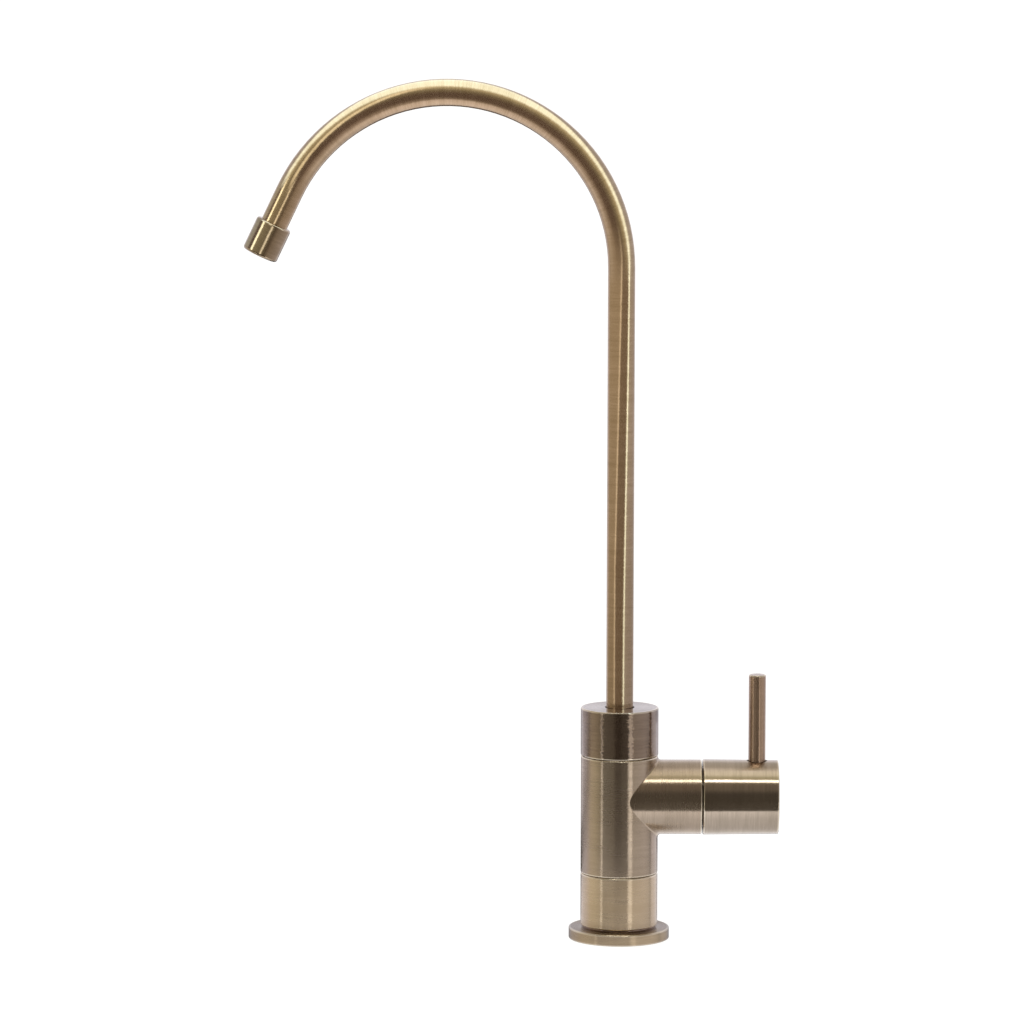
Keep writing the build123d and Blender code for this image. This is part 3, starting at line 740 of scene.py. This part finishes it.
# %% The crown's cool back, its pale underside and the strip towards the outlet
COOL = (0.62, 0.63, 0.70, 1)
UNDER_CROWN = (1.35, 1.3, 1.4, 1)
STRIP = (1.6, 1.6, 1.35, 1)
STRIP_TURN = -math.radians(0.6) / MM
at_crown = maths(
    tree,
    "MULTIPLY",
    along_tube(26, 92, kind="SMOOTHSTEP"),
    along_tube(158, 106, kind="SMOOTHSTEP"),
)
hot_end = maths(tree, "MULTIPLY_ADD", at_crown, math.radians(58), math.radians(72))
hot_end = maths(tree, "ADD", hot_end, near_outlet)
past_hot = between(tree, past(hot_end), 0.0, math.radians(14))
above_arch = blended(tree, past_hot, above_arch, COOL)
low_bearing = between(tree, bearing, math.radians(-48), math.radians(-60))
under_crown = maths(tree, "MULTIPLY", at_crown, low_bearing)
above_arch = blended(tree, maths(tree, "MULTIPLY", under_crown, 0.6), above_arch, UNDER_CROWN)
strip_middle = maths(tree, "MULTIPLY_ADD", run, STRIP_TURN, math.radians(115))
from_strip = maths(tree, "ABSOLUTE", past(strip_middle))
in_strip = maths(
    tree,
    "MULTIPLY",
    between(tree, from_strip, math.radians(5), math.radians(14), 1.0, 0.0),
    along_tube(96, 114),
)
above_arch = blended(tree, in_strip, above_arch, STRIP)
print("nodes with the crown's light:", len(tree.nodes))

# %% The light round the outlet
FRONT_LINE = (1.8, 1.8, 1.6)
SIDE_LINE = (3.2, 3.4, 3.0)
beside_outlet = round_tube(
    bearing,
    [
        (at(-110), (0.58, 0.53, 0.54)),
        (at(-40), (0.36, 0.31, 0.26)),
        (at(-22), (0.16, 0.13, 0.10)),
        (at(-6), (0.25, 0.22, 0.16)),
        (at(-2), FRONT_LINE),
        (at(3), FRONT_LINE),
        (at(8), (0.30, 0.27, 0.20)),
        (at(53), (0.45, 0.42, 0.30)),
        (at(57), SIDE_LINE),
        (at(64), SIDE_LINE),
        (at(70), (0.16, 0.12, 0.12)),
        (at(84), (0.22, 0.18, 0.17)),
        (at(96), (0.60, 0.62, 0.60)),
    ],
)
light = blended(tree, along_tube(-10, 14), beside_riser, above_arch)
light = blended(tree, along_tube(160, 166), light, beside_outlet)
print("bend's length in mm:", round(BEND_SWEEP * BEND_RADIUS / MM, 1))

# %% Who sees the screen
# The tube lies inside it, so its rays meet the sleeve's back, as their first hit and a full radius
# away. The faucet's other pieces look past it, and so does everything on the far side.
SHORTEST_LOOK = 33 * MM
NEARLY_AT_WALL = 0.97 * SCREEN_RADIUS
SCREEN_FACES = math.radians(8)
SCREEN_SPREAD = (math.radians(122), math.radians(134))
shine = wire(tree, "ShaderNodeEmission", light, 1.0)
clear = wire(tree, "ShaderNodeBsdfTransparent")
from_inside = wire(tree, "ShaderNodeNewGeometry").outputs["Backfacing"]
ray = wire(tree, "ShaderNodeLightPath").outputs
first_hit = maths(tree, "LESS_THAN", ray["Transparent Depth"], 0.5)
far_enough = maths(tree, "GREATER_THAN", ray["Ray Length"], SHORTEST_LOOK)
in_front = between(tree, maths(tree, "ABSOLUTE", past(SCREEN_FACES)), *SCREEN_SPREAD, 1.0, 0.0)
from_line = wire(tree, "ShaderNodeCombineXYZ", off_side, depth).outputs[0]
on_wall = maths(tree, "GREATER_THAN", vector(tree, "LENGTH", from_line), NEARLY_AT_WALL)
solid = from_inside
for other in (first_hit, far_enough, in_front, on_wall):
    solid = maths(tree, "MULTIPLY", solid, other)
mix = wire(tree, "ShaderNodeMixShader", solid, clear.outputs[0], shine.outputs[0])
wire(tree, "ShaderNodeOutputMaterial", mix.outputs[0])
print("nodes in the screen's glow in all:", len(tree.nodes))

# %% [markdown]
# ## Antique brass
# Antique brass is brushed brass that was darkened and rubbed back, under a clear lacquer. The worn
# lines are paler than the dark ones between them, and the lacquer greys the metal where it is seen at
# a slant. So the streaks of the grooves mix two colours, and a thin coat lies over the metal. The
# rims get a paler colour, a painted highlight where their rounded edges catch the light, and the
# group's fourth output marks them.

# %% Brushed brass with a patina
# The paler colour at the rims is a painted highlight, where rounded edges catch the light.
RIM_HIGHLIGHT = (0.86, 0.76, 0.60, 1)
RIM_HIGHLIGHT_SHARE = 0.8
STREAK_SHARE = 0.75
PATINA_TO_TONE = (0.38, 0.62)
DULLEST, GLOSSIEST = 1.15, 0.85
LACQUER_ROUGHNESS = 0.12
NOWHERE = (-1.0, -1.0, 1.0)
UNDIMMED = (1, 1, 1)


def brass(
    name,
    line,
    tone,
    patina,
    roughness,
    metal=1.0,
    stretch=0.9,
    tilt=0.16,
    waver=0.2,
    lacquer=0.35,
    rims=NOWHERE,
    glance=UNDIMMED,
):
    """Brushed antique brass: tone is its colour where it is bright, patina where it has darkened.

    line gives the coordinates about the piece's axis. rims says where the piece's two rims are along
    that axis, and how wide they are; there a paler colour paints a highlight. glance dims what the
    metal mirrors at a glancing angle.
    """
    material, tree = empty_material(name)
    position, around, surface = line(tree)
    lines = wire(tree, "ShaderNodeGroup", node_tree=grooves)
    fill_all(tree, lines, {"Position": position, "Around": around, "Surface": surface})
    fill_all(tree, lines, {"Tilt": tilt, "Waver": waver})
    fill_all(tree, lines, dict(zip(("First End", "Last End", "Rim Radius"), rims)))
    mixed = maths(
        tree,
        "ADD",
        maths(tree, "MULTIPLY", lines.outputs["Streaks"], STREAK_SHARE),
        maths(tree, "MULTIPLY", lines.outputs["Clouds"], 1 - STREAK_SHARE),
    )
    colour = blended(tree, between(tree, mixed, *PATINA_TO_TONE), (*patina, 1), (*tone, 1))
    # Painted highlight: the rims are mixed towards the paler colour.
    rim_highlight = maths(tree, "MULTIPLY", lines.outputs["Edges"], RIM_HIGHLIGHT_SHARE)
    colour = blended(tree, rim_highlight, colour, RIM_HIGHLIGHT)
    gloss_range = (roughness * DULLEST, roughness * GLOSSIEST)
    rough = between(tree, lines.outputs["Streaks"], 0.3, 0.7, *gloss_range)
    shader = wire(tree, "ShaderNodeBsdfPrincipled")
    varied = {"Base Color": colour, "Roughness": rough, "Normal": lines.outputs["Normal"]}
    if stretch:
        varied["Tangent"] = vector(tree, "CROSS_PRODUCT", around, surface)
    plain = {
        "Metallic": metal,
        "Specular Tint": (*glance, 1),
        "Anisotropic": stretch,
        "Coat Weight": lacquer,
        "Coat Roughness": LACQUER_ROUGHNESS,
    }
    fill_all(tree, shader, varied | plain)
    wire(tree, "ShaderNodeOutputMaterial", shader.outputs[0])
    return material


# The paler colour that paints the rims' highlight.
print("brass that hands have rubbed:", RIM_HIGHLIGHT[:3])

# %% Helpers that fit a finish to a piece


def rims_of(name, axis="z"):
    """Where a round piece's rims are along its axis, and their radius."""
    low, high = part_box(name)
    return getattr(low, axis), getattr(high, axis), high.y


def dress(material, *names):
    """Gives a material to CAD pieces."""
    for name in names:
        for slot in nodes[name].material_slots:
            slot.material = material
    print(material.name, "on", ", ".join(names))


print("flange's rims in mm:", [round(c / MM, 2) for c in rims_of("base_flange")])

# %% [markdown]
# ## The body
# The barrel and its branch are one casting, but each was turned about its own axis, so the grooves
# change direction along the crease between them. The mesh could be cut in two there, but it is
# simpler to let each point take the axis whose skin it is nearer to. The mesh's own normals waver a
# little where its long triangles meet, and a mirror shows that. On the two skins the normals are
# known exactly, so they are reckoned and not read from the mesh.

# %% Measure the barrel and the branch
BARREL_RADIUS = 13.55 * MM
BARREL_FOOT = 23.5 * MM
BARREL_TOP = 65.1 * MM
BRANCH_RADIUS = 13.1 * MM
BRANCH_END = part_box("main_body")[1].x
branch_line = turned_about("X", (BRANCH_END - BARREL_TOP, 0, HANDLE_Z))
print("branch ends in mm from the column's axis:", round(BRANCH_END / MM, 2))

# %% Pick the nearer line


def chosen(tree, kind, factor, first, second):
    """One of two numbers or vectors, or a mix of them."""
    node = wire(tree, "ShaderNodeMix", data_type=kind)
    low, high, out = {"FLOAT": (2, 3, 0), "VECTOR": (4, 5, 1)}[kind]
    fill_all(tree, node, {"Factor": factor, low: first, high: second})
    return node.outputs[out]


def off_skin(tree, outward, radius):
    """How far a point is from a round skin, for the vector to it from the axis."""
    return maths(tree, "ABSOLUTE", maths(tree, "SUBTRACT", vector(tree, "LENGTH", outward), radius))


def on_true_skin(tree, off, along):
    """1 on the barrel's or branch's skin, 0 on their rims, crease and insides."""
    to_end = maths(
        tree,
        "MINIMUM",
        maths(tree, "SUBTRACT", along, BARREL_FOOT),
        maths(tree, "SUBTRACT", BARREL_TOP, along),
    )
    return maths(
        tree,
        "MULTIPLY",
        between(tree, off, 0.03 * MM, 0.12 * MM, 1.0, 0.0),
        between(tree, to_end, 0.42 * MM, 0.5 * MM),
    )


def body_lines(tree):
    """Coordinates about the barrel's axis, or about the branch's where the branch's skin is nearer."""
    place = wire(tree, "ShaderNodeTexCoord").outputs["Object"]
    split = wire(tree, "ShaderNodeSeparateXYZ", place).outputs
    from_barrel = wire(tree, "ShaderNodeCombineXYZ", split["X"], split["Y"]).outputs[0]
    above_axis = maths(tree, "SUBTRACT", split["Z"], HANDLE_Z)
    from_branch = wire(tree, "ShaderNodeCombineXYZ", 0.0, split["Y"], above_axis).outputs[0]
    off_barrel = off_skin(tree, from_barrel, BARREL_RADIUS)
    off_branch = off_skin(tree, from_branch, BRANCH_RADIUS)
    nearer = maths(tree, "LESS_THAN", off_branch, off_barrel)
    on_branch = maths(tree, "MULTIPLY", nearer, maths(tree, "GREATER_THAN", split["X"], 0.0))
    barrel_position, barrel_around, meshed = column_line(tree)
    branch_position, branch_around, _ = branch_line(tree)
    position = chosen(tree, "VECTOR", on_branch, barrel_position, branch_position)
    around = chosen(tree, "VECTOR", on_branch, barrel_around, branch_around)
    off = chosen(tree, "FLOAT", on_branch, off_barrel, off_branch)
    along = wire(tree, "ShaderNodeSeparateXYZ", position).outputs["Z"]
    outward = chosen(tree, "VECTOR", on_branch, from_barrel, from_branch)
    true_round = vector(tree, "NORMALIZE", outward)
    surface = chosen(tree, "VECTOR", on_true_skin(tree, off, along), meshed, true_round)
    return position, around, vector(tree, "NORMALIZE", surface)


print("barrel and branch across in mm:", [round(2 * r / MM, 1) for r in (BARREL_RADIUS, BRANCH_RADIUS)])

# %% Finish the body
body_brass = brass(
    "aged_brass_body",
    body_lines,
    tone=(0.55, 0.445, 0.335),
    patina=(0.43, 0.34, 0.248),
    roughness=0.26,
    tilt=0.12,
    waver=0.055,
    rims=(BARREL_FOOT, BARREL_TOP, BARREL_RADIUS),
)
dress(body_brass, "main_body")

# %% [markdown]
# ## The handle
# The hub is the smoothest of the large pieces, and its stripes are sharp, so its roughness is low.
# The lever is a thin rod. It looks redder and more thickly lacquered and hardly shows streaks, so its
# finish has more lacquer, less tilt, and a little less metal in it. One finish for both would be
# shorter, but the picture shows two.

# %% Finish the hub and the lever
hub_brass = brass(
    "aged_brass_hub",
    handle_line,
    tone=(0.56, 0.465, 0.36),
    patina=(0.435, 0.36, 0.27),
    roughness=0.195,
    tilt=0.12,
    waver=0.04,
    rims=rims_of("handle_hub", "x"),
)
dress(hub_brass, "handle_hub")
lever_brass = brass(
    "aged_brass_lever",
    lever_line,
    tone=(0.46, 0.315, 0.215),
    patina=(0.385, 0.26, 0.17),
    roughness=0.19,
    metal=0.74,
    tilt=0.06,
    waver=0.06,
    lacquer=0.6,
    rims=rims_of("lever_rod"),
)
dress(lever_brass, "lever_rod")

# %% [markdown]
# ## The column's rings
# The flange, the lower collar and the nut are rings turned one by one. Each has its own two colours:
# the collar's are paler and more golden, the nut's darker. Besides the rings' own tones, they paint
# light and shade: the collar's paint the light that the table casts up on it, the nut's the shade
# higher up the column. The flange's flat top is seen at a glancing angle, where metal mirrors nearly
# everything. In the picture it stays grey, and a darker colour alone wouldn't do that, so its
# Specular Tint dims the glancing light.

# %% Finish the flange, the collar and the nut
foot_brass = brass(
    "aged_brass_foot",
    column_line,
    tone=(0.56, 0.44, 0.29),
    patina=(0.43, 0.33, 0.215),
    roughness=0.26,
    waver=0.06,
    lacquer=0.08,
    rims=rims_of("base_flange"),
    glance=(0.62, 0.65, 0.72),
)
dress(foot_brass, "base_flange")
# Paler colours: the collar's own golden tone, with the table's light painted in.
collar_brass = brass(
    "golden_brass_collar",
    column_line,
    tone=(0.655, 0.515, 0.35),
    patina=(0.585, 0.45, 0.285),
    roughness=0.28,
    waver=0.07,
    lacquer=0.7,
    rims=rims_of("lower_collar"),
)
dress(collar_brass, "lower_collar")
# Darker colours: the nut's own tone, with the shade higher up the column painted in.
nut_brass = brass(
    "aged_brass_nut",
    column_line,
    tone=(0.34, 0.255, 0.185),
    patina=(0.25, 0.18, 0.13),
    roughness=0.22,
    waver=0.30,
    lacquer=0.8,
    rims=rims_of("spout_nut"),
)
dress(nut_brass, "spout_nut")

# %% [markdown]
# ## The gooseneck and its nozzle
# Both look polished more than brushed, so their reflections spread evenly: the anisotropic stretch is
# off. The nozzle sits in line with the tube's end, so it could have a straight line of its own, but
# the tube's bent line already goes on straight past the bend, and both share it.

# %% Finish the gooseneck and the nozzle
tube_brass = brass(
    "golden_brass_tube",
    spout_line,
    tone=(0.56, 0.41, 0.26),
    patina=(0.43, 0.305, 0.175),
    roughness=0.17,
    metal=0.92,
    stretch=0.0,
    tilt=0.08,
    waver=0.12,
)
dress(tube_brass, "spout_tube")
nozzle_brass = brass(
    "olive_brass_nozzle",
    spout_line,
    tone=(0.50, 0.39, 0.27),
    patina=(0.36, 0.275, 0.18),
    roughness=0.15,
    stretch=0.0,
    tilt=0.06,
    waver=0.08,
)
dress(nozzle_brass, "nozzle_collar")

# %% [markdown]
# ## Behind the seam
# Through the thin seam beside the hub one looks into the branch, and sees only a dark line. What
# lies there can't be told from the picture. A bright finish would light up the seam, so these pieces
# get one dark colour, whatever they are made of: painted shade, for the shade deep in the seam.

# %% Finish what the seam shows
# Dark colours: painted shade inside the seam.
seam_shade_finish = brass(
    "painted_shade_inside",
    handle_line,
    tone=(0.12, 0.09, 0.06),
    patina=(0.08, 0.06, 0.04),
    roughness=0.4,
)
dress(seam_shade_finish, "cartridge_housing", "guide_ring", "stem_clip", "cartridge_stem")

# %% [markdown]
# ## The dark neck
# A thin spacer parts the collar from the flange, and shows as one dark line round the foot. Its dark
# colour is painted shade, for the narrow recess between collar and flange. The frame has it as a
# plain washer, set well back, while in the picture it nearly meets the collar's skin.
# Scaling the washer would widen its bore too, so it is turned again: its section is drawn as a
# rectangle and spun once round the axis, and a bevel breaks its two outer edges, as a file would.

# %% Draw the neck's section
NECK_BORE = 8.05 * MM
NECK_RADIUS = 13.1 * MM
neck_low, neck_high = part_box("neck_ring")
section_middle = ((NECK_BORE + NECK_RADIUS) / 2, 0, (neck_low.z + neck_high.z) / 2)
bpy.ops.object.select_all(action="DESELECT")
bpy.ops.mesh.primitive_plane_add(size=1, location=section_middle, rotation=(math.pi / 2, 0, 0))
neck = bpy.context.object
neck.name = "dark_neck"
neck.scale = (NECK_RADIUS - NECK_BORE, neck_high.z - neck_low.z, 1)
bpy.ops.object.transform_apply(location=True, rotation=True, scale=True)
print("section in mm:", [round(c / MM, 2) for c in neck.dimensions])

# %% Spin it
NECK_STEPS = 144
bpy.ops.object.mode_set(mode="EDIT")
bpy.ops.mesh.select_all(action="SELECT")
bpy.ops.mesh.delete(type="ONLY_FACE")
bpy.ops.mesh.select_all(action="SELECT")
bpy.ops.mesh.spin(steps=NECK_STEPS, angle=2 * math.pi, center=(0, 0, 0), axis=(0, 0, 1))
bpy.ops.mesh.select_all(action="SELECT")
bpy.ops.mesh.remove_doubles(threshold=SAME_PLACE)
bpy.ops.mesh.normals_make_consistent(inside=False)
bpy.ops.mesh.select_mode(type="EDGE")
bpy.ops.mesh.select_all(action="DESELECT")
bpy.ops.object.mode_set(mode="OBJECT")
print("neck faces before the bevel:", len(neck.data.polygons))

# %% Break its outer edges
NECK_BEVEL = 0.12 * MM
SMOOTH_BELOW = math.radians(40)
for edge in neck.data.edges:
    first, second = (neck.data.vertices[v].co for v in edge.vertices)
    from_axis = min(math.hypot(first.x, first.y), math.hypot(second.x, second.y))
    edge.select = from_axis > NECK_RADIUS - SAME_PLACE and abs(first.z - second.z) < SAME_PLACE
bpy.ops.object.mode_set(mode="EDIT")
bpy.ops.mesh.bevel(offset=NECK_BEVEL, segments=3, affect="EDGES")
bpy.ops.object.mode_set(mode="OBJECT")
bpy.ops.object.shade_smooth_by_angle(angle=SMOOTH_BELOW)
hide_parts("neck_ring")
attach(neck, "base")
print("neck faces:", len(neck.data.polygons), "box:", [round(c / MM, 2) for c in neck.dimensions])

# %% Finish the neck
# Dark colours: painted shade in the recess under the collar.
neck_shade_finish = brass(
    "neck_painted_shade",
    column_line,
    tone=(0.34, 0.24, 0.19),
    patina=(0.24, 0.165, 0.13),
    roughness=0.14,
    stretch=0.0,
    tilt=0.05,
    waver=0.05,
    lacquer=1.0,
)
neck.data.materials.append(neck_shade_finish)
print("neck's material:", neck.data.materials[0].name)

# %% [markdown]
# ## What stays hidden
# The seals, washers and discs inside never show in the picture, but someone who takes the faucet
# apart sees them. They could share the brass's grooves, but they are moulded or machined, so a fine
# grain and a slow change of shade are enough.

# %% The node group for moulded and machined insides
SLOWER = 0.08
GRAIN_SHARE = 0.4
fine = bpy.data.node_groups.new("fine grain", "ShaderNodeTree")
group_socket(fine, "Place", "Vector", "INPUT")
group_socket(fine, "Grain Size", "Float", "INPUT", 0.3)
group_socket(fine, "Shade", "Float", "OUTPUT")
group_socket(fine, "Height", "Float", "OUTPUT")
given = wire(fine, "NodeGroupInput").outputs
in_grains = scaled(fine, given["Place"], maths(fine, "DIVIDE", 1 / MM, given["Grain Size"]))
grain = wire(fine, "ShaderNodeTexNoise")
fill_all(fine, grain, {"Vector": in_grains, "Scale": 1.0})
slow = wire(fine, "ShaderNodeTexNoise")
fill_all(fine, slow, {"Vector": in_grains, "Scale": SLOWER})
some_grain = maths(fine, "MULTIPLY", grain.outputs["Fac"], GRAIN_SHARE)
shade = maths(fine, "MULTIPLY_ADD", slow.outputs["Fac"], 1 - GRAIN_SHARE, some_grain)
wire(fine, "NodeGroupOutput", shade, grain.outputs["Fac"])
print("nodes in the fine grain group:", len(fine.nodes))

# %% A plain finish for the insides


def inside_finish(name, dark, light, roughness, metal=0.0, depth=0.01):
    """A plain material whose shade changes slowly, with a fine grain of the given depth in mm."""
    material, tree = empty_material(name)
    effect = wire(tree, "ShaderNodeGroup", node_tree=fine)
    fill(tree, effect.inputs["Place"], wire(tree, "ShaderNodeTexCoord").outputs["Object"])
    bump = wire(tree, "ShaderNodeBump")
    fill_all(tree, bump, {"Distance": depth * MM, "Height": effect.outputs["Height"]})
    shade = between(tree, effect.outputs["Shade"], 0.35, 0.65)
    colour = blended(tree, shade, (*dark, 1), (*light, 1))
    rough = between(tree, effect.outputs["Shade"], 0.3, 0.7, roughness * 1.2, roughness * 0.8)
    shader = wire(tree, "ShaderNodeBsdfPrincipled")
    fill_all(tree, shader, {"Base Color": colour, "Roughness": rough, "Metallic": metal})
    fill(tree, shader.inputs["Normal"], bump.outputs["Normal"])
    wire(tree, "ShaderNodeOutputMaterial", shader.outputs[0])
    return material


print("pieces in the frame to finish:", len(nodes))

# %% Rubber, plastic, ceramic, steel and plain brass
rubber = inside_finish("black_rubber", (0.012, 0.012, 0.013), (0.03, 0.03, 0.032), 0.55)
plastic = inside_finish("white_plastic", (0.70, 0.69, 0.66), (0.80, 0.79, 0.76), 0.35)
ceramic = inside_finish("polished_ceramic", (0.80, 0.79, 0.77), (0.88, 0.87, 0.85), 0.12, depth=0.002)
steel = inside_finish("bright_steel", (0.48, 0.48, 0.49), (0.60, 0.60, 0.60), 0.28, metal=1.0)
machined = inside_finish("machined_brass", (0.62, 0.45, 0.20), (0.75, 0.57, 0.28), 0.3, metal=1.0)
dress(rubber, "deck_seal", "inlet_seal", "collar_rings", "seat_seal", "housing_seal", "stem_rings")
dress(rubber, "spout_rings", "nozzle_washer")
dress(plastic, "thrust_ring", "swivel_bush", "stem_washer", "flow_straightener")
dress(ceramic, "fixed_disc", "turning_disc")
dress(steel, "hub_screw")
dress(machined, "inlet_bush", "stop_ring", "spout_ferrule")
bare = [n for n, piece in nodes.items() if not all(s.material.node_tree for s in piece.material_slots)]
print("pieces without a finish:", bare)

# %% [markdown]
# ## Finish
# Last, colours are shown as they were written.

# %% Finish
bpy.context.scene.view_settings.view_transform = "Standard"
